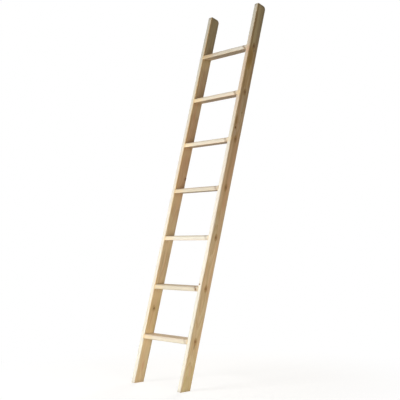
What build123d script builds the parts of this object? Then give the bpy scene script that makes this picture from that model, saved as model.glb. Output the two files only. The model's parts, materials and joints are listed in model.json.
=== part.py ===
from build123d import *
from math import cos, radians, sin, tan
import os

# Wooden ladder, standing as it leans in use, with its treads level and its feet flat on the floor.
# X runs across the ladder, Y from its front to its back, Z up. Lengths are millimetres, angles degrees.

# Ladder as a whole
overall_width = 457.0  # across the outer faces of the stiles
lean = 16.0  # of the stiles, from upright
tread_count = 7
tread_pitch = 305.0  # from one tread to the next, along the stiles
first_rise = 284.0  # from the floor to the top of the lowest tread
head_length = 277.0  # of stile above the top tread, along the stiles

# Stiles
stile_thickness = 30.0
stile_depth = 70.0  # front to back, square to the stile
stile_arris = 3.0  # radius of the eased edges
head_front_round = 8.0  # radius of the top end's front corner
head_back_round = 22.0  # radius of its back corner

# Treads
tread_thickness = 28.0
tread_nose = 16.0  # radius of the upper front edge, between the stiles
tread_arris = 4.0  # radius of the other long edges, between the stiles
housing_depth = 6.0  # how far each end is let into its stile

# Dowels
dowel_diameter = 16.0
dowel_grip = 50.0  # length inside the tread
fit = 0.1  # clearance where one piece is let into another

# Places and sizes that follow
lean_angle = radians(lean)
level_depth = stile_depth / cos(lean_angle)  # of the stiles, measured level
tread_rise = tread_pitch * cos(lean_angle)
top_height = first_rise + (tread_count - 1) * tread_rise + head_length * cos(lean_angle)
outer_x = overall_width / 2
inner_x = outer_x - stile_thickness
tread_length = 2 * (inner_x + housing_depth - fit)
hole_radius = dowel_diameter / 2 + fit
dowel_length = stile_thickness - housing_depth + fit + dowel_grip

# The origin is on the floor, halfway between the foremost and the rearmost point.
head_back = top_height * tan(lean_angle) + stile_depth * cos(lean_angle)
overall_depth = head_back - head_back_round * (cos(lean_angle) + sin(lean_angle) - 1)
foot_front = -overall_depth / 2


def front_y(z):
    """Where the front faces of the stiles and treads are at height z."""
    return foot_front + z * tan(lean_angle)


def tread_centre(step):
    """Middle of a tread's section, as (y, z). Its dowels are on this line."""
    z = first_rise + step * tread_rise - tread_thickness / 2
    return front_y(z) + level_depth / 2, z


tread_centres = [tread_centre(step) for step in range(tread_count)]


def outer_plane(side, centre):
    """Plane on a stile's outer face, facing out, centred on a tread's dowel."""
    y, z = centre
    return Plane(origin=(side * outer_x, y, z), x_dir=(0, 1, 0), z_dir=(side, 0, 0))


def save(part, name):
    part.label = name
    export_step(part, f"parts/{name}.step")


def make_stile(side, name):
    """Leaning bar with a level foot, and for each tread a level housing with a dowel hole through it."""
    with BuildPart() as stile:
        with BuildSketch(Plane.YZ.offset(side * inner_x)) as profile:
            with BuildLine():
                Polyline(
                    (front_y(0), 0),
                    (front_y(0) + level_depth, 0),
                    (foot_front + head_back, top_height - stile_depth * sin(lean_angle)),
                    (front_y(top_height), top_height),
                    close=True,
                )
            make_face()
            front_corner = profile.vertices().sort_by(Axis.Y)[-1]
            fillet(front_corner, radius=head_front_round)
            back_corner = profile.vertices().sort_by(Axis.X)[-1]
            fillet(back_corner, radius=head_back_round)
        extrude(amount=side * stile_thickness)
        foot_edges = stile.faces().sort_by(Axis.Z)[0].edges()
        outline = stile.faces().filter_by(Axis.X).edges()
        fillet(outline - foot_edges, radius=stile_arris)
        with BuildSketch(Plane.YZ.offset(side * inner_x)):
            with Locations(*tread_centres):
                Rectangle(2 * level_depth, tread_thickness + 2 * fit)
        extrude(amount=side * housing_depth, mode=Mode.SUBTRACT)
        with Locations(*[outer_plane(side, centre) for centre in tread_centres]):
            Hole(radius=hole_radius, depth=stile_thickness)
    save(stile.part, name)


def tread_corners(centre):
    """Corners of a tread's section, as (y, z). Its front and back are bevelled to lie flush with the stiles."""
    low, high = centre[1] - tread_thickness / 2, centre[1] + tread_thickness / 2
    return [
        (front_y(low), low),
        (front_y(low) + level_depth, low),
        (front_y(high) + level_depth, high),
        (front_y(high), high),
    ]


def make_tread(centre, name):
    """Level board with rounded long edges, its ends left square to fill the housings and bored for dowels."""
    y, z = centre
    with BuildPart() as tread:
        with BuildSketch(Plane.YZ) as section:
            with BuildLine():
                Polyline(*tread_corners(centre), close=True)
            make_face()
            nose = section.vertices().sort_by(Axis.Y)[-2:].sort_by(Axis.X)[0]
            fillet(nose, radius=tread_nose)
            by_depth = section.vertices().sort_by(Axis.X)
            fillet([by_depth[0], *by_depth[-2:]], radius=tread_arris)
        extrude(amount=inner_x, both=True)
        for side in (-1, 1):
            with BuildSketch(Plane.YZ.offset(side * inner_x)):
                with BuildLine():
                    Polyline(*tread_corners(centre), close=True)
                make_face()
            extrude(amount=side * (tread_length / 2 - inner_x))
        ends = [Plane(origin=(side * tread_length / 2, y, z), z_dir=(side, 0, 0)) for side in (-1, 1)]
        with Locations(*ends):
            Hole(radius=hole_radius, depth=dowel_grip + fit)
    save(tread.part, name)


def make_dowel(side, centre, name):
    """Round peg, flush with the stile's outer face and driven through it into a tread's end."""
    with BuildPart() as dowel:
        with BuildSketch(outer_plane(side, centre)):
            Circle(dowel_diameter / 2)
        extrude(amount=-dowel_length)
    save(dowel.part, name)


os.makedirs("parts", exist_ok=True)
for side, side_name in ((-1, "left"), (1, "right")):
    make_stile(side, f"stile_{side_name}")
    for number, centre in enumerate(tread_centres, start=1):
        make_dowel(side, centre, f"dowel_{side_name}_{number}")
for number, centre in enumerate(tread_centres, start=1):
    make_tread(centre, f"tread_{number}")
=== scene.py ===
import json
from math import radians

import bpy
from mathutils import Matrix, Vector


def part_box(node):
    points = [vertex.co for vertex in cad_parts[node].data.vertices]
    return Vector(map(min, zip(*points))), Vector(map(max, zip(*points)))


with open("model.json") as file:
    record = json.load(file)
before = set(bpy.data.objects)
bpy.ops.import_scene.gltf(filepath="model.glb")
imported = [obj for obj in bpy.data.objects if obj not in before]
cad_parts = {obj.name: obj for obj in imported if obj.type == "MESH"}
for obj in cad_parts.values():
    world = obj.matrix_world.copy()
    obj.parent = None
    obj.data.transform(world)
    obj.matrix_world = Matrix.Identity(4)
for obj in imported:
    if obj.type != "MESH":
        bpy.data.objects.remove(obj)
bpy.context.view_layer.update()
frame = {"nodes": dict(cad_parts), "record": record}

# Blender works in metres. The wood's patterns are worked out in millimetres, in each board's own axes:
# x along the grain, y and z across it.
MM = 1000  # millimetres in a metre
RIGHT = Vector((1, 0, 0))
UP = Vector((0, 0, 1))

# Colours of the wood, of what has stained it and of painted light and shade, as linear red, green and
# blue
EARLY_WOOD = (0.735, 0.575, 0.375)
LATE_WOOD = (0.46, 0.27, 0.11)
RED_TINT = (0.71, 0.42, 0.25)
OLIVE_TINT = (0.6, 0.51, 0.26)
GOLD = (0.88, 0.7, 0.43)
AMBER = (0.7, 0.44, 0.12)
BLEACHED = (0.9, 0.86, 0.78)
DULL_OLIVE = (0.36, 0.33, 0.18)
RUBBED = (0.81, 0.82, 0.75)
# Resin brown, also laid on the treads' undersides as painted shade
RESIN_AND_SHADE = (0.38, 0.22, 0.08)
# Dark dirt, also laid as painted shade in corners, along edges, on the head and on the treads' faces
GRIME_AND_SHADE = (0.16, 0.11, 0.06)
KNOT_PALE = (0.34, 0.17, 0.07)
KNOT_DARK = (0.2, 0.09, 0.035)
BARK = (0.1, 0.05, 0.025)
JOINT_BROWN = (0.27, 0.15, 0.06)
DOWEL_PALE = (0.45, 0.265, 0.13)
DOWEL_DARK = (0.25, 0.135, 0.06)
WHITE = (1.0, 1.0, 1.0)


def centre(node):
    low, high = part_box(node)
    return (low + high) / 2


def size(node):
    low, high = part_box(node)
    return high - low


# Pieces and directions of the ladder
tread_names = sorted(name for name in frame["nodes"] if name.startswith("tread_"))
dowel_names = sorted(name for name in frame["nodes"] if name.startswith("dowel_"))
back_mount = next(mount for mount in frame["record"]["mounts"] if mount["name"] == "left_back")
across = Vector(back_mount["axis"])  # of the stiles, from front to back
along = Vector((0, -across.z, across.y))  # the stiles, from foot to head
first_tread = centre(tread_names[0])
top_tread = centre(tread_names[-1])
tread_step = centre(tread_names[1]) - first_tread
dowel_radius = size(dowel_names[0]).z / 2 * MM
stile_inner_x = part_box("stile_right")[0].x * MM
tread_half_thickness = size(tread_names[0]).z / 2 * MM


class Signal:
    """A number, vector or colour that varies over a surface. Arithmetic on it adds nodes to its tree."""

    def __init__(self, socket):
        self.socket = socket
        self.tree = socket.id_data

    def __add__(self, other):
        return arithmetic("ADD", self, other)

    def __sub__(self, other):
        return arithmetic("SUBTRACT", self, other)

    def __rsub__(self, other):
        return arithmetic("SUBTRACT", other, self)

    def __mul__(self, other):
        return arithmetic("MULTIPLY", self, other)

    def __truediv__(self, other):
        return arithmetic("DIVIDE", self, other)

    def __abs__(self):
        return arithmetic("ABSOLUTE", self)

    def root(self):
        return arithmetic("SQRT", self)

    def larger(self, other):
        return arithmetic("MAXIMUM", self, other)

    def fraction(self):
        return arithmetic("FRACT", self)

    def length(self):
        return arithmetic("LENGTH", self)

    def dot(self, other):
        return arithmetic("DOT_PRODUCT", self, tuple(other))

    def from_nearest(self, step):
        """How far this is past the nearest multiple of step."""
        return ((self / step + 0.5).fraction() - 0.5) * step

    def swing(self, reach, low, high):
        """Goes smoothly from low to high as this goes from -reach to reach."""
        return self.ease(-reach, reach, low, high)

    def ease(self, start, end, low=0.0, high=1.0):
        """Goes smoothly from low, where this is at start, to high, where it is at end."""
        inputs = {"Value": self, "From Min": start, "From Max": end, "To Min": low, "To Max": high}
        node = add_node(self.tree, "ShaderNodeMapRange", inputs, interpolation_type="SMOOTHSTEP")
        return Signal(node.outputs[0])


def is_vector(value):
    return isinstance(value, tuple) or (isinstance(value, Signal) and value.socket.type != "VALUE")


def arithmetic(operation, *values):
    """The result of an operation on signals, numbers and vectors, at least one of them a signal."""
    tree = next(value.tree for value in values if isinstance(value, Signal))
    vectors = any(is_vector(value) for value in values)
    kind = "ShaderNodeVectorMath" if vectors else "ShaderNodeMath"
    node = add_node(tree, kind, dict(enumerate(values)), operation=operation)
    gives_vector = vectors and operation not in ("LENGTH", "DOT_PRODUCT")
    return Signal(node.outputs["Vector" if gives_vector else "Value"])


def add_node(tree, kind, inputs, **settings):
    """Adds a node, makes its settings and feeds its inputs, which go by name or place."""
    node = tree.nodes.new(kind)
    for name, value in settings.items():
        setattr(node, name, value)
    for name, value in inputs.items():
        feed(node.inputs[name], value)
    return node


def feed(socket, value):
    """Links a signal to a socket, or sets the socket to a number, vector or colour."""
    if isinstance(value, Signal):
        socket.id_data.links.new(value.socket, socket)
    elif socket.type == "RGBA":
        socket.default_value = (*value, 1.0)
    elif socket.type == "VECTOR" and isinstance(value, (int, float)):
        socket.default_value = (value, value, value)
    else:
        socket.default_value = value


def separate(vector):
    """The x, y and z of a vector."""
    node = add_node(vector.tree, "ShaderNodeSeparateXYZ", {0: vector})
    return [Signal(socket) for socket in node.outputs]


def noise(place, detail=2.0, roughness=0.5):
    """Smooth random numbers round zero, about one unit of place from each rise to the next fall."""
    inputs = {"Vector": place, "Scale": 1.0, "Detail": detail, "Roughness": roughness}
    node = add_node(place.tree, "ShaderNodeTexNoise", inputs)
    return Signal(node.outputs["Fac"]) - 0.5


def noise_vector(place):
    """Smooth random vectors round zero."""
    inputs = {"Vector": place, "Scale": 1.0, "Detail": 1.0}
    node = add_node(place.tree, "ShaderNodeTexNoise", inputs)
    return Signal(node.outputs["Color"]) - (0.5, 0.5, 0.5)


# Places of a Mix node's colour sockets
MIX_SHARE, MIX_FIRST, MIX_SECOND, MIX_RESULT = 0, 6, 7, 2


def mix(share, first, second):
    """A colour that goes from the first to the second as share goes from 0 to 1."""
    inputs = {MIX_SHARE: share, MIX_FIRST: first, MIX_SECOND: second}
    node = add_node(share.tree, "ShaderNodeMix", inputs, data_type="RGBA")
    return Signal(node.outputs[MIX_RESULT])


def new_material(name):
    """A material with nothing but a surface shader, as (material, its node tree, the shader)."""
    material = bpy.data.materials.new(name)
    material.use_nodes = True
    tree = material.node_tree
    tree.nodes.clear()
    surface = add_node(tree, "ShaderNodeBsdfPrincipled", {})
    add_node(tree, "ShaderNodeOutputMaterial", {"Surface": Signal(surface.outputs[0])})
    return material, tree, surface


SPECULAR_LEVEL = 0.25  # of all the wood


def finish_surface(surface, color, roughness, height, relief):
    """Sets what varies over a surface. Relief is the height of its bumps in millimetres."""
    bump = add_node(color.tree, "ShaderNodeBump", {"Height": height, "Distance": relief / MM})
    feed(surface.inputs["Base Color"], color)
    feed(surface.inputs["Roughness"], roughness)
    feed(surface.inputs["Normal"], Signal(bump.outputs[0]))
    surface.inputs["Specular IOR Level"].default_value = SPECULAR_LEVEL


def put_on(node, material):
    materials = frame["nodes"][node].data.materials
    materials.clear()
    materials.append(material)


# Random patterns in a board, as (length along the grain, width across it, number that sets it apart)
RING_BEND = (130, 15, 1)
PITH_WANDER = (500, 1e6, 2)
LATE_STRENGTH = (800, 9, 3)
FIBRE = (16, 0.6, 4)
RESIN_DUCT = (9, 0.55, 5)
TINT = (480, 22, 6)
STREAK = (260, 7, 7)
STILE_RUB = (40, 9, 8)
TREAD_RUB = (30, 12, 8)
DOWEL_STAIN_EDGE = (14, 3, 9)
PATCH_EDGE = (70, 7)  # a patch's place along the board serves as its number
SEED_SHIFT = 7.3  # between the patterns of boards whose seeds differ by one
PATTERN_SHIFT = 3.1  # between patterns of a board whose numbers differ by one

# Growth of the wood. Here and below, a ramp says where a feature starts to show and where it shows
# fully, a swing how far noise strays and what that turns into, and a share how strongly a colour covers.
RING_WIDTH = 4.4  # millimetres, as are the reaches
RING_GROUP = 13  # distance over which wide and narrow rings take turns
RING_UNEVENNESS = 2.4  # in years
RING_BEND_REACH = 5
PITH_WANDER_REACH = 46
LATE_RAMP = (0.25, 0.9)  # in a year, which counts from 0 to 1
YEAR_END_RAMP = (1.0, 0.93)
LATE_SWING = (0.3, 0.45, 1)
LATE_SHARE = 0.5
TINT_NOISE = 0.25  # how far the noise strays
TINT_SHARE = 0.6
DUCT_RAMP = (0.17, 0.24)
DUCT_SHARE = 0.3
STREAK_SWING = (0.25, 0.88, 1.1)
STREAK_DETAIL = 3.0
FIBRE_SWING = (0.2, 0.95, 1.05)
FIBRE_ROUGHNESS = 0.7  # of its noise

# Knots. Distances from a knot's middle count in its radii.
KNOT_STRETCH = (0.7, 1.0, 1.0)  # below 1 where knots reach further, which is along the grain
KNOT_UNEVENNESS = 0.5
KNOT_NOISE_SIZE = 9  # millimetres
KNOT_BEND_RAMP = (3.4, 0.7)
KNOT_HALO_RAMP = (3.2, 0.8)
KNOT_HALO_SHARE = 0.3
KNOT_BODY_RAMP = (1.05, 0.85)
KNOT_RINGS = 3.5
KNOT_RIM = 0.97
KNOT_RIM_RAMP = (0.2, 0.0)
KNOT_RIM_SHARE = 0.7
KNOT_FREE_RAMP = (0.9, 1.3)

# Patches, whose reach counts as 1
PATCH_RAMP = (1.1, 0.4)
PATCH_RAGGEDNESS = 1.2

# Finish of the wood
ROUGHNESS_SWING = (0.2, 0.68, 0.52)
LATE_HEIGHT = 0.5
FIBRE_HEIGHT = 0.6
WOOD_RELIEF = 0.25  # millimetres


class Board:
    """Pine for one board, cut from a trunk whose pith passes at (y, z) in the board's axes. Seed sets
    its random patterns apart, and tone is its brightness."""

    def __init__(self, name, origin, axes, seed, pith, tone=1.0):
        self.name = name
        self.seed = seed
        self.pith = pith
        self.tone = tone
        self.knots = []
        self.material, tree, self.surface = new_material(name + "_pine")
        self.object_place = Signal(add_node(tree, "ShaderNodeTexCoord", {}).outputs["Object"])
        self.normal = Signal(add_node(tree, "ShaderNodeNewGeometry", {}).outputs["Normal"])
        inputs = {
            "Vector": self.object_place,
            "Location": origin,
            "Rotation": axes.to_euler(),
            "Scale": 1 / MM,
        }
        mapping = add_node(tree, "ShaderNodeMapping", inputs, vector_type="TEXTURE")
        self.place = Signal(mapping.outputs[0])
        self.push = noise(self.stretched(*RING_BEND)) * RING_BEND_REACH

    def stretched(self, long, wide, number):
        """The place, scaled for a pattern of long by wide millimetres that differs by seed and number."""
        shift = SEED_SHIFT * self.seed + PATTERN_SHIFT * number
        return self.place * (1 / long, 1 / wide, 1 / wide) + (shift, shift, shift)

    def knot(self, spot, radius):
        """A branch that left the pith and reaches the surface at spot. The rings bend round it."""
        axis = (Vector(spot) - Vector((spot[0], *self.pith))).normalized()
        offset = self.place - spot
        beside = offset - offset.dot(axis) * tuple(axis)
        uneven = noise(self.place * (1 / KNOT_NOISE_SIZE)) * KNOT_UNEVENNESS
        reach = (beside * KNOT_STRETCH).length() / radius + uneven
        self.push = self.push + reach.ease(*KNOT_BEND_RAMP) * radius
        self.knots.append(reach)

    def grow(self):
        """Makes the wood's colour, with its rings, streaks, fibres and knots."""
        wander = noise_vector(self.stretched(*PITH_WANDER)) * (0, PITH_WANDER_REACH, PITH_WANDER_REACH)
        radius = (self.place * (0, 1, 1) - (0, *self.pith) + wander).length() + self.push
        uneven = noise(radius * (1 / RING_GROUP, 0, 0) + (self.seed, 0, 0))
        year = (radius / RING_WIDTH + uneven * RING_UNEVENNESS).fraction()
        strength = noise(self.stretched(*LATE_STRENGTH)).swing(*LATE_SWING)
        self.late = year.ease(*LATE_RAMP) * year.ease(*YEAR_END_RAMP) * strength
        self.fibre = noise(self.stretched(*FIBRE), roughness=FIBRE_ROUGHNESS)
        duct = noise(self.stretched(*RESIN_DUCT)).ease(*DUCT_RAMP)
        tint = noise(self.stretched(*TINT))
        streak = noise(self.stretched(*STREAK), detail=STREAK_DETAIL)
        self.color = mix(self.late * LATE_SHARE, EARLY_WOOD, LATE_WOOD)
        self.stain(tint.ease(0, TINT_NOISE) * TINT_SHARE, RED_TINT)
        self.stain(tint.ease(0, -TINT_NOISE) * TINT_SHARE, OLIVE_TINT)
        self.stain(duct * DUCT_SHARE, RESIN_AND_SHADE)
        self.color = self.color * streak.swing(*STREAK_SWING) * self.fibre.swing(*FIBRE_SWING)
        self.knot_free = 1.0
        for reach in self.knots:
            self.color_knot(reach)

    def color_knot(self, reach):
        """Resin round a knot, rings in it and a rim of bark."""
        self.knot_free = reach.ease(*KNOT_FREE_RAMP) * self.knot_free
        self.stain(reach.ease(*KNOT_HALO_RAMP) * KNOT_HALO_SHARE, RESIN_AND_SHADE)
        rings = mix((reach * KNOT_RINGS).fraction(), KNOT_PALE, KNOT_DARK)
        self.stain(reach.ease(*KNOT_BODY_RAMP), rings)
        self.stain(abs(reach - KNOT_RIM).ease(*KNOT_RIM_RAMP) * KNOT_RIM_SHARE, BARK)

    # Mixes a colour in. Stains use it, and so do the marks of painted light and shade.
    def stain(self, share, color):
        self.color = mix(share, self.color, color)

    def wear(self, share):
        """Rubs the wood pale, but for its knots, which are harder."""
        self.stain(share * self.knot_free, RUBBED)

    def patch(self, spot, reach, color, strength):
        """A colour with a soft, ragged edge round a spot, but not on knots: a stain, and where noted
        painted light and shade. Reach is its half length in each axis."""
        ragged = noise(self.stretched(*PATCH_EDGE, spot[0])) * PATCH_RAGGEDNESS
        share_out = ((self.place - spot) / reach).length() + ragged
        self.stain(share_out.ease(*PATCH_RAMP) * strength * self.knot_free, color)

    def facing(self, direction, cosines):
        """1 where the surface faces a direction, and 0 where it is turned away from it."""
        return self.normal.dot(direction).ease(*cosines)

    def dress(self):
        """Puts the finished wood on the board's node."""
        roughness = self.fibre.swing(*ROUGHNESS_SWING)
        height = self.late * LATE_HEIGHT + self.fibre * FIBRE_HEIGHT
        finish_surface(self.surface, self.color * self.tone, roughness, height, WOOD_RELIEF)
        put_on(self.name, self.material)


# Cosines between which a surface goes from turned away to facing a direction
STILE_EDGE = (0.6, 0.95)
STILE_FACE = (0.7, 0.9)
STILE_END = (0.5, 0.9)
TREAD_EDGE = (0.75, 0.95)
TREAD_FLAT = (0.9, 0.99)

# Wear, stains and painted light and shade of the stiles, with lengths in millimetres.
# Ragged says how far noise shifts an edge.
STILE_FRONT_RUBBED = 0.7
STILE_BACK_RUBBED = 0.3
STILE_RUB_SHARE = 0.1
# Painted shade on the stiles' edges, darker towards the head, where less light falls
HEAD_SHADE_RAGGED = 90
HEAD_SHADE_SHARE = 0.28
SAWN_END_SHARE = 0.4
# Dirt and painted shade on the head's end
HEAD_RAMP = (-16, -3)  # past the head's end
HEAD_RAGGED = 12
HEAD_DIRT_AND_SHADE_SHARE = 0.4
DOWEL_STAIN_SQUEEZE = 0.5  # along the fibres, where the stain reaches further
DOWEL_STAIN_RAMP = (1.8, 1.0)  # in dowel radii
DOWEL_STAIN_RAGGED = 5
DOWEL_STAIN_SHARE = 0.65
DOWEL_STREAK_WIDTH_RAMP = (1.5, 0)  # in dowel radii
DOWEL_STREAK_LENGTH_RAMP = (90, 15)
DOWEL_STREAK_RAGGED = 9
DOWEL_STREAK_SHARE = 0.18
HEAD_CLEAR_RAMP = (60, 30)  # above the top tread
# Painted warm light on the inner face below each tread
UNDER_TREAD_LIGHT_LOW_RAMP = (106, 36)  # below a tread's underside
UNDER_TREAD_LIGHT_HIGH_RAMP = (-2, 32)  # likewise
UNDER_TREAD_LIGHT_RAGGED = 20
UNDER_TREAD_LIGHT_SHARE = 0.42
# Painted shade, with some dirt, where the inner face meets a tread
CORNER_SHADE_RAMP = (5, -1)  # from a tread's top or underside
CORNER_SHADE_RAGGED = 3
CORNER_SHADE_SHARE = 0.35
FOOT_RAMP = (22, 0)
FOOT_RAGGED = 30
FOOT_SHARE = 0.22


def dress_stile(name, outward, seed, pith, knots, patches, edge_patches, head_shade_stretch):
    """Planed stile. Outward is +1 or -1, the way its dowelled face looks along X. The last argument is
    the stretch along it over which painted shade on its edges goes from none to its darkest."""
    origin = Vector((centre(name).x, first_tread.y, first_tread.z))
    axes = Matrix((along, across, along.cross(across))).transposed()
    board = Board(name, origin, axes, seed, pith)
    for knot in knots:
        board.knot(*knot)
    board.grow()
    for patch in patches:
        board.patch(*patch)
    rub = noise(board.stretched(*STILE_RUB))
    low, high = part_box(name)
    head_end = ((high.z - low.z) / along.z + (low - origin).dot(along)) * MM
    wear_and_shade_stile(board, rub, head_shade_stretch, head_end)
    for patch in edge_patches:
        board.patch(*patch)
    stain_round_dowels(board, rub, outward)
    soil_and_paint_light_on_stile(board, rub, outward)
    board.dress()


def wear_and_shade_stile(board, rub, head_shade_stretch, head_end):
    """Rubs the edges pale, the front more than the back, and darkens them towards the head with painted
    shade. The sawn ends, which drink more finish, are darker, and the head's end has dirt and painted
    shade."""
    x = separate(board.place)[0]
    front = board.facing(-across, STILE_EDGE)
    back = board.facing(across, STILE_EDGE)
    board.wear(front * STILE_FRONT_RUBBED + back * STILE_BACK_RUBBED + rub * STILE_RUB_SHARE)
    # Painted shade: the edges darken towards the head, where less light falls.
    board.stain((x + rub * HEAD_SHADE_RAGGED).ease(*head_shade_stretch) * (front + back) * HEAD_SHADE_SHARE, GRIME_AND_SHADE)
    sawn = board.facing(along, STILE_END) + board.facing(-along, STILE_END)
    board.stain(sawn * SAWN_END_SHARE, RESIN_AND_SHADE)
    # Dirt and painted shade on the head's end, where little light falls.
    board.stain((x - head_end + rub * HEAD_RAGGED).ease(*HEAD_RAMP) * HEAD_DIRT_AND_SHADE_SHARE, GRIME_AND_SHADE)


def stain_round_dowels(board, rub, outward):
    """On the outer face only, stain that the dowels' end grain has drawn along the fibres."""
    x, y, _ = separate(board.place)
    dowelled = board.facing(outward * RIGHT, STILE_FACE)
    from_dowel = x.from_nearest(tread_step.length * MM)
    squeezed = from_dowel * DOWEL_STAIN_SQUEEZE
    ragged = noise(board.stretched(*DOWEL_STAIN_EDGE)) * DOWEL_STAIN_RAGGED
    oval = (squeezed * squeezed + y * y).root() + ragged
    board.stain((oval / dowel_radius).ease(*DOWEL_STAIN_RAMP) * dowelled * DOWEL_STAIN_SHARE, RESIN_AND_SHADE)
    beside = abs(y + rub * DOWEL_STREAK_RAGGED) / dowel_radius
    streak = beside.ease(*DOWEL_STREAK_WIDTH_RAMP) * abs(from_dowel).ease(*DOWEL_STREAK_LENGTH_RAMP)
    board.stain(streak * dowelled * DOWEL_STREAK_SHARE, RESIN_AND_SHADE)


def soil_and_paint_light_on_stile(board, rub, outward):
    """On the inner face, painted warm light below the treads, and painted shade with some dirt in the
    corners with them. Dirt on the foot."""
    height = separate(board.object_place)[2] * MM
    above_tread = (height - first_tread.z * MM).from_nearest(tread_step.z * MM)
    head_clear = (height - top_tread.z * MM).ease(*HEAD_CLEAR_RAMP)
    inner = board.facing(-outward * RIGHT, STILE_FACE) * head_clear
    under_tread = -tread_half_thickness - above_tread
    # Painted warm light on the inner face below each tread
    lit_under_tread = (under_tread - rub * UNDER_TREAD_LIGHT_RAGGED).ease(*UNDER_TREAD_LIGHT_LOW_RAMP)
    lit_under_tread = lit_under_tread * under_tread.ease(*UNDER_TREAD_LIGHT_HIGH_RAMP)
    board.stain(lit_under_tread * inner * UNDER_TREAD_LIGHT_SHARE, GOLD)
    # Painted shade, with some dirt, where the inner face meets a tread
    from_tread = abs(above_tread) - tread_half_thickness
    corner_shade = (from_tread + rub * CORNER_SHADE_RAGGED).ease(*CORNER_SHADE_RAMP)
    board.stain(corner_shade * inner * CORNER_SHADE_SHARE, GRIME_AND_SHADE)
    board.stain((height + rub * FOOT_RAGGED).ease(*FOOT_RAMP) * FOOT_SHARE, GRIME_AND_SHADE)


# Wear, stains and painted light and shade of the treads, with lengths in millimetres.
# Places along a tread are from its middle.
TREAD_BACK_RUBBED = 0.5  # times what the front has
TREAD_RUB_SHARE = 0.1
ARRIS_RAMP = (0.99, 0.88)  # cosines of the turn away from the nearest flat side
ARRIS_SHARE = 0.25
ARRIS_RUB_SHARE = 0.2
# Painted shade over the treads' tops, with scuffs that darken them further
SCUFF_RAMP = (0.0, 0.22)
TOP_SHADE_AND_SCUFF_SHARES = (0.13, 0.38)  # between scuffs and in them
# Painted warm light, as reflected from the left stile, on the left end of each tread
LEFT_END_RAMP = (-90, -150)
NOT_BACK_RAMP = (0.7, 0.0)  # cosines with the way back, as in FORWARD_RAMP
LEFT_GLOW_SHARE = 0.65
# Painted shade on the treads' undersides, easing off near the left end
UNDER_SHADE_RAMP = (-190, -110)
UNDER_SHADE_SHARES = (0.12, 1.0)
UNDER_SHADE_RAGGED = 20
UNDER_SHADE_DARK = 0.52
UNDER_SHADE_BROWN = 0.2
# Painted warm light on the tread ends by the stiles
END_RAMP = (13, 0)  # from the stile
END_RAGGED = 6
END_GLOW_SHARE = 0.35
JOINT_STAIN_INSET = 21  # from the right-hand stile to the stain's middle
JOINT_STAIN_ACROSS = (0.79, 0.61)  # rightward and upward parts of the way across the slanting stain
JOINT_STAIN_RAMP = (13, 1)
JOINT_STAIN_RAGGED = 8
FORWARD_RAMP = (0.1, -0.5)


def dress_tread(name, seed, pith, tone, rubbed, joint_stain, left_amber_glow=0.0, knots=(), patches=()):
    """Tread. Rubbed says how pale its front is rubbed, the left-end share how much painted warm light its
    left end gets, and joint_stain how strong the stain near its right end is. Tone is its brightness."""
    board = Board(name, centre(name), Matrix.Identity(3), seed, pith, tone)
    for knot in knots:
        board.knot(*knot)
    board.grow()
    rub = noise(board.stretched(*TREAD_RUB))
    wear_and_light_tread(board, rub, rubbed, left_amber_glow)
    for patch in patches:
        board.patch(*patch)
    light_and_stain_tread_ends(board, rub, joint_stain)
    board.dress()


def wear_and_light_tread(board, rub, rubbed, left_amber_glow):
    """Rubs the front pale, the back less so, and the arrises. The left end gets painted warm light, the
    top painted shade and scuffs, and the underside painted shade that eases off near the left end."""
    x = separate(board.place)[0]
    backward = board.normal.dot(across)
    front = board.facing(-across, TREAD_EDGE)
    back = board.facing(across, TREAD_EDGE)
    board.wear(front * rubbed + back * (TREAD_BACK_RUBBED * rubbed) + rub * TREAD_RUB_SHARE)
    # Painted warm light on the left end of the front, as reflected from the left stile
    left_glow = x.ease(*LEFT_END_RAMP) * backward.ease(*NOT_BACK_RAMP)
    board.stain(left_glow * front * LEFT_GLOW_SHARE, GOLD)
    squareness = abs(backward).larger(abs(board.normal.dot(UP)))
    board.wear(squareness.ease(*ARRIS_RAMP) * ARRIS_SHARE + rub * ARRIS_RUB_SHARE)
    # Painted shade over the top, with scuffs that darken it further
    board.stain(board.facing(UP, TREAD_FLAT) * rub.ease(*SCUFF_RAMP, *TOP_SHADE_AND_SCUFF_SHARES), GRIME_AND_SHADE)
    # Painted shade on the underside, easing off near the left end
    under_shade = board.facing(-UP, TREAD_FLAT) * (x + rub * UNDER_SHADE_RAGGED).ease(*UNDER_SHADE_RAMP, *UNDER_SHADE_SHARES)
    board.stain(under_shade * UNDER_SHADE_DARK, GRIME_AND_SHADE)
    board.stain(under_shade * UNDER_SHADE_BROWN, RESIN_AND_SHADE)
    # More painted warm light on the left end
    board.stain(left_glow * left_amber_glow, AMBER)


def light_and_stain_tread_ends(board, rub, joint_stain):
    """Paints the ends by the stiles amber, as warm light reflected from them, with a brown stain that
    slants down the front near the right.
    """
    x, _, z = separate(board.place)
    from_stile = stile_inner_x - abs(x)
    # Painted warm light on the ends, as reflected from the stiles
    board.stain((from_stile + rub * END_RAGGED).ease(*END_RAMP) * END_GLOW_SHARE, AMBER)
    rightward, upward = JOINT_STAIN_ACROSS
    from_middle = x - stile_inner_x + JOINT_STAIN_INSET
    beside = from_middle * rightward + z * upward + rub * JOINT_STAIN_RAGGED
    forward = board.normal.dot(across).ease(*FORWARD_RAMP)
    board.stain(abs(beside).ease(*JOINT_STAIN_RAMP) * forward * joint_stain, JOINT_BROWN)


# Grain of the dowels, in millimetres
DOWEL_RING_WIDTH = 1.8
DOWEL_RING_RAMP = (0.2, 1.0)
DOWEL_HEART_STEP = 90  # distance over which the rings' middle changes, so that each dowel differs
DOWEL_HEART_REACH = 40
PORE_SCALE = (0.08, 2.4, 2.4)  # per millimetre, along and across
PORE_RAMP = (0.06, 0.22)
PORE_SHARE = 0.6
PORE_ROUGHNESS_SWING = (0.2, 0.5, 0.7)
DOWEL_RIM_RAMP = (0.84, 1.0)  # in dowel radii
DOWEL_RIM_SHARE = 0.55
DOWEL_RELIEF = 0.2


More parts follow.
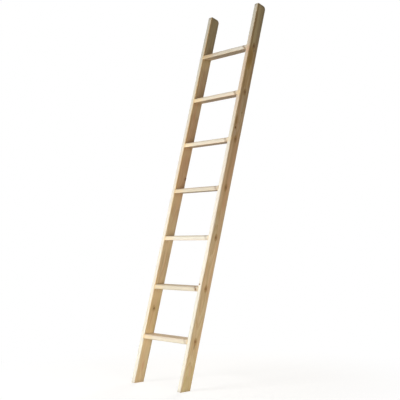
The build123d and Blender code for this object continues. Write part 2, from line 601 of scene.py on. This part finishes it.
def make_dowel_material():
    """Hardwood peg, whose end grain has darkened with the finish."""
    material, tree, surface = new_material("dowel_wood")
    coordinates = add_node(tree, "ShaderNodeTexCoord", {})
    section = (0, 2 * dowel_radius, 2 * dowel_radius)
    spot = (Signal(coordinates.outputs["Generated"]) - (0.5, 0.5, 0.5)) * section
    place = Signal(coordinates.outputs["Object"]) * MM
    heart = noise_vector(place * (0, 1 / DOWEL_HEART_STEP, 1 / DOWEL_HEART_STEP))
    off_heart = spot + heart * (0, DOWEL_HEART_REACH, DOWEL_HEART_REACH)
    ring = (off_heart.length() / DOWEL_RING_WIDTH).fraction()
    pores = noise(place * PORE_SCALE)
    color = mix(ring.ease(*DOWEL_RING_RAMP), DOWEL_PALE, DOWEL_DARK)
    color = mix(pores.ease(*PORE_RAMP) * PORE_SHARE, color, BARK)
    rim = (spot.length() / dowel_radius).ease(*DOWEL_RIM_RAMP)
    color = mix(rim * DOWEL_RIM_SHARE, color, BARK)
    finish_surface(surface, color, pores.swing(*PORE_ROUGHNESS_SWING), pores, DOWEL_RELIEF)
    return material


# Floor and light from all round
FLOOR_SIDE = 40  # metres
FLOOR_BOUNCE = (0.45, 0.42, 0.38)  # colour in which it throws light back
FLOOR_ROUGHNESS = 0.9
FLOOR_PAPER = (0.4, 0.4, 0.4)  # grey on which the camera sees the shadow
FLOOR_GLOW = 0.725  # lifts that grey almost to white
FLOOR_FADE_RAMP = (0.5, 1.6)  # metres from the origin over which it turns plain white
AMBIENT_COLOR = (1.0, 0.93, 0.82)
AMBIENT_STRENGTH = 0.23


def add_light_paths(tree, plain, seen):
    """The shader seen for the camera's rays, reflected and refracted ones too, and plain for others."""
    kinds = add_node(tree, "ShaderNodeLightPath", {}).outputs
    direct = Signal(kinds["Is Camera Ray"])
    reflected = Signal(kinds["Is Glossy Ray"])
    refracted = Signal(kinds["Is Transmission Ray"])
    shown = direct.larger(reflected).larger(refracted)
    return Signal(add_node(tree, "ShaderNodeMixShader", {0: shown, 1: plain, 2: seen}).outputs[0])


def add_floor():
    """White floor that keeps the ladder's soft shadow and fades into the background away from it."""
    bpy.ops.mesh.primitive_plane_add(size=FLOOR_SIDE)
    floor = bpy.context.object
    floor.name = "floor"
    material, tree, surface = new_material("floor_white")
    feed(surface.inputs["Base Color"], FLOOR_BOUNCE)
    surface.inputs["Roughness"].default_value = FLOOR_ROUGHNESS
    paper = add_node(tree, "ShaderNodeBsdfDiffuse", {"Color": FLOOR_PAPER})
    glow = add_node(tree, "ShaderNodeEmission", {"Strength": FLOOR_GLOW})
    glowing = {0: Signal(paper.outputs[0]), 1: Signal(glow.outputs[0])}
    lit = add_node(tree, "ShaderNodeAddShader", glowing)
    white = add_node(tree, "ShaderNodeEmission", {"Color": WHITE, "Strength": 1.0})
    reach = Signal(add_node(tree, "ShaderNodeTexCoord", {}).outputs["Object"]).length()
    shaders = {0: reach.ease(*FLOOR_FADE_RAMP), 1: Signal(lit.outputs[0]), 2: Signal(white.outputs[0])}
    seen = Signal(add_node(tree, "ShaderNodeMixShader", shaders).outputs[0])
    output = next(node for node in tree.nodes if node.type == "OUTPUT_MATERIAL")
    feed(output.inputs["Surface"], add_light_paths(tree, Signal(surface.outputs[0]), seen))
    floor.data.materials.append(material)


def add_world():
    """Soft, slightly warm light from all round, and white where the camera sees past the floor."""
    world = bpy.data.worlds.new("studio")
    world.use_nodes = True
    tree = world.node_tree
    tree.nodes.clear()
    ambient_light = {"Color": AMBIENT_COLOR, "Strength": AMBIENT_STRENGTH}
    ambient = add_node(tree, "ShaderNodeBackground", ambient_light)
    white = add_node(tree, "ShaderNodeBackground", {"Color": WHITE, "Strength": 1.0})
    light = add_light_paths(tree, Signal(ambient.outputs[0]), Signal(white.outputs[0]))
    add_node(tree, "ShaderNodeOutputWorld", {"Surface": light})
    bpy.context.scene.world = world


def add_softbox(name, place, aim, side, power, color, spread=180):
    """A square soft lamp at place, turned towards aim. Power is in watts and spread in degrees."""
    lamp = bpy.data.lights.new(name, "AREA")
    lamp.shape = "SQUARE"
    lamp.size = side
    lamp.energy = power
    lamp.color = color
    lamp.spread = radians(spread)
    softbox = bpy.data.objects.new(name, lamp)
    softbox.location = place
    softbox.rotation_euler = (Vector(aim) - Vector(place)).to_track_quat("-Z", "Y").to_euler()
    softbox.visible_camera = False
    bpy.context.scene.collection.objects.link(softbox)


def add_camera(place, yaw, pitch, roll, focal_pixels, image_width):
    """Camera that looks along +Y at yaw 0, turned by yaw, pitch and roll in degrees."""
    data = bpy.data.cameras.new("camera")
    data.sensor_fit = "HORIZONTAL"
    data.lens = data.sensor_width * focal_pixels / image_width
    camera = bpy.data.objects.new("camera", data)
    turn = Matrix.Rotation(radians(yaw), 4, "Z") @ Matrix.Rotation(radians(90 + pitch), 4, "X")
    camera.matrix_world = Matrix.Translation(place) @ turn @ Matrix.Rotation(radians(roll), 4, "Z")
    bpy.context.scene.collection.objects.link(camera)
    bpy.context.scene.camera = camera


# Knots are (spot, radius) and patches (spot, reach, colour, strength), in millimetres. A spot on a stile
# is (along, across, through) from the middle of the lowest tread's joint. Edge patches lie over the wear.
FRONT, BACK = -35, 35  # across
RIGHT_FACE = -15  # through, on the face towards +X
left_knots = [((166, -4, RIGHT_FACE), 5), ((1004, 29, RIGHT_FACE), 7)]
left_patches = [
    # Painted light filling the shadow that the right stile casts on the foot of this face
    ((-130, 0, RIGHT_FACE), (230, 70, 60), GOLD, 0.5),
    ((152, 0, RIGHT_FACE), (200, 70, 60), GOLD, 0.2),
    ((152, 0, RIGHT_FACE), (200, 70, 60), AMBER, 0.2),
    ((166, -4, RIGHT_FACE), (26, 15, 20), RESIN_AND_SHADE, 0.35),
    ((763, 0, RIGHT_FACE), (200, 70, 60), GOLD, 0.15),
    ((-180, 4, RIGHT_FACE), (40, 12, 20), RED_TINT, 0.6),
    ((1130, 0, RIGHT_FACE), (460, 70, 60), RED_TINT, 0.55),
    ((1135, 7, RIGHT_FACE), (55, 13, 20), RED_TINT, 0.6),
    ((1430, -6, RIGHT_FACE), (50, 12, 20), RED_TINT, 0.6),
    # Painted warm light on this face just below the top tread
    ((1800, 0, RIGHT_FACE), (70, 50, 14), GOLD, 0.65),
    # Painted shade: this face is darker towards the head
    ((2030, 0, RIGHT_FACE), (280, 70, 60), DULL_OLIVE, 0.5),
]
left_edge_patches = [
    ((-150, FRONT, 0), (260, 9, 40), RUBBED, 0.45),
    ((680, FRONT, 0), (400, 9, 40), BLEACHED, 0.35),
    ((470, FRONT, RIGHT_FACE), (200, 7, 8), GRIME_AND_SHADE, 0.2),
    # Painted shade along the back edge of this face, in the next four patches
    ((2060, BACK, RIGHT_FACE), (220, 10, 14), GRIME_AND_SHADE, 0.3),
    ((0, BACK, RIGHT_FACE), (430, 9, 14), GRIME_AND_SHADE, 0.3),
    ((1680, BACK, RIGHT_FACE), (170, 9, 14), GRIME_AND_SHADE, 0.3),
    ((900, 30, RIGHT_FACE), (4000, 16, 14), GRIME_AND_SHADE, 0.1),
    ((1400, FRONT, RIGHT_FACE), (1500, 9, 10), AMBER, 0.4),
]
right_knots = [((1289, -18, RIGHT_FACE), 5), ((1393, 11, RIGHT_FACE), 2.5), ((324, FRONT, 6), 2.2)]
right_patches = [
    ((-190, 25, RIGHT_FACE), (160, 22, 14), OLIVE_TINT, 0.55),
    ((-165, 6, RIGHT_FACE), (35, 10, 20), RED_TINT, 0.4),
    ((-29, 0, RIGHT_FACE), (17, 5, 20), BARK, 0.5),
    ((810, 5, RIGHT_FACE), (40, 11, 20), RED_TINT, 0.6),
    ((152, 0, RIGHT_FACE), (200, 70, 60), DULL_OLIVE, 0.18),
    ((620, -28, RIGHT_FACE), (130, 9, 14), RESIN_AND_SHADE, 0.3),
    ((760, 0, RIGHT_FACE), (180, 70, 60), DULL_OLIVE, 0.15),
    ((1000, 0, RIGHT_FACE), (360, 70, 60), RED_TINT, 0.45),
    ((1250, 0, RIGHT_FACE), (380, 70, 60), RESIN_AND_SHADE, 0.14),
    ((1010, -4, RIGHT_FACE), (380, 11, 14), RESIN_AND_SHADE, 0.28),
    ((1075, -18, RIGHT_FACE), (170, 9, 14), GOLD, 0.25),
    ((1690, 0, RIGHT_FACE), (200, 70, 60), AMBER, 0.28),
    ((1256, -16, RIGHT_FACE), (28, 13, 14), BLEACHED, 0.16),
    ((1335, -22, RIGHT_FACE), (42, 12, 14), RESIN_AND_SHADE, 0.75),
    ((1445, 11, RIGHT_FACE), (85, 18, 14), GRIME_AND_SHADE, 0.13),
    ((1560, -21, RIGHT_FACE), (190, 9, 14), RESIN_AND_SHADE, 0.45),
    ((1745, -13, RIGHT_FACE), (95, 27, 14), AMBER, 0.6),
    ((1748, -12, RIGHT_FACE), (85, 25, 14), RESIN_AND_SHADE, 0.6),
    ((1872, 10, RIGHT_FACE), (45, 9, 14), RESIN_AND_SHADE, 0.45),
    ((1802, 9, RIGHT_FACE), (11, 6, 20), BARK, 0.65),
    ((2060, 0, RIGHT_FACE), (250, 70, 60), OLIVE_TINT, 0.6),
    ((2060, 0, RIGHT_FACE), (250, 70, 60), GOLD, 0.3),
    ((1970, -25, RIGHT_FACE), (230, 10, 14), RESIN_AND_SHADE, 0.6),
    ((2010, 15, RIGHT_FACE), (210, 17, 14), GRIME_AND_SHADE, 0.25),
    ((1850, 32, RIGHT_FACE), (620, 21, 14), GRIME_AND_SHADE, 0.3),
]
right_edge_patches = [
    ((0, FRONT, 0), (450, 9, 40), RUBBED, 0.4),
    ((480, FRONT, RIGHT_FACE), (1150, 8, 8), GRIME_AND_SHADE, 0.42),
    ((760, FRONT, 0), (560, 9, 40), BLEACHED, 0.6),
    ((1600, FRONT, 0), (330, 9, 40), RED_TINT, 0.32),
    ((1210, FRONT, -6), (22, 9, 14), GOLD, 0.4),
    ((1510, FRONT, -6), (26, 9, 16), GOLD, 0.6),
    ((1510, FRONT, -6), (26, 9, 16), AMBER, 0.2),
    ((1800, FRONT, -6), (36, 9, 18), RED_TINT, 0.55),
    ((1780, FRONT, RIGHT_FACE), (420, 10, 9), GRIME_AND_SHADE, 0.15),
    ((2060, BACK, RIGHT_FACE), (250, 12, 14), GRIME_AND_SHADE, 0.25),
    ((900, FRONT, RIGHT_FACE), (4000, 9, 10), AMBER, 0.15),
]
dress_stile("stile_left", outward=-1, seed=1.0, pith=(14, 75), knots=left_knots, patches=left_patches,
            edge_patches=left_edge_patches, head_shade_stretch=(1550, 2000))
dress_stile("stile_right", outward=1, seed=2.0, pith=(-12, 80), knots=right_knots, patches=right_patches,
            edge_patches=right_edge_patches, head_shade_stretch=(1100, 2250))

# Treads, from the lowest up. A spot on a tread is (rightward, backward, upward) from its middle.
TREAD_FRONT = -36  # backward
TREAD_SEED = 10.0  # treads are numbered from here
top_tread_patches = [
    ((-150, TREAD_FRONT, 8), (130, 30, 24), RESIN_AND_SHADE, 0.34),
    ((150, TREAD_FRONT, 8), (90, 30, 24), BLEACHED, 0.6),
]
tread_looks = [
    dict(pith=(5, 70), tone=0.96, rubbed=0.55, joint_stain=0.3),
    dict(pith=(-2, -64), tone=0.91, rubbed=0.5, joint_stain=0.6,
         knots=[((181, TREAD_FRONT, -3), 4)]),
    dict(pith=(-9, 70), tone=1.01, rubbed=0.75, joint_stain=0.3),
    dict(pith=(12, -64), tone=0.95, rubbed=0.5, joint_stain=0.45, left_amber_glow=0.06,
         knots=[((-60, 10, 14), 7)]),
    dict(pith=(5, 70), tone=1.1, rubbed=0.55, joint_stain=0.5),
    dict(pith=(-2, -64), tone=1.11, rubbed=0.5, joint_stain=0.62, left_amber_glow=0.15,
         knots=[((95, -12, -14), 6)]),
    dict(pith=(-9, 70), tone=0.98, rubbed=0.55, joint_stain=0.7, left_amber_glow=0.15,
         patches=top_tread_patches),
]
for number, (name, look) in enumerate(zip(tread_names, tread_looks), start=1):
    dress_tread(name, seed=TREAD_SEED + number, **look)
dowel_material = make_dowel_material()
for name in dowel_names:
    put_on(name, dowel_material)

# Stage, in metres
add_floor()
add_world()
add_softbox("key", place=(-0.9, -4.3, 1.55), aim=(0, 0, 0.9), side=1.8, power=156, color=WHITE)
add_softbox("back_fill", place=(-1.8, 3.6, 2.2), aim=(0, 0, 1.1), side=1.8, power=80,
            color=(1.0, 0.96, 0.9))
add_softbox("low_fill", place=(3.4, -1.4, 0.4), aim=(0, -0.2, 0.2), side=1.0, power=10.2,
            color=(1.0, 0.93, 0.78), spread=70)
add_camera(place=(3.7609, -3.3128, 0.8607), yaw=48.613, pitch=2.579, roll=-0.68, focal_pixels=822.71,
           image_width=400)
bpy.context.scene.view_settings.view_transform = "Standard"
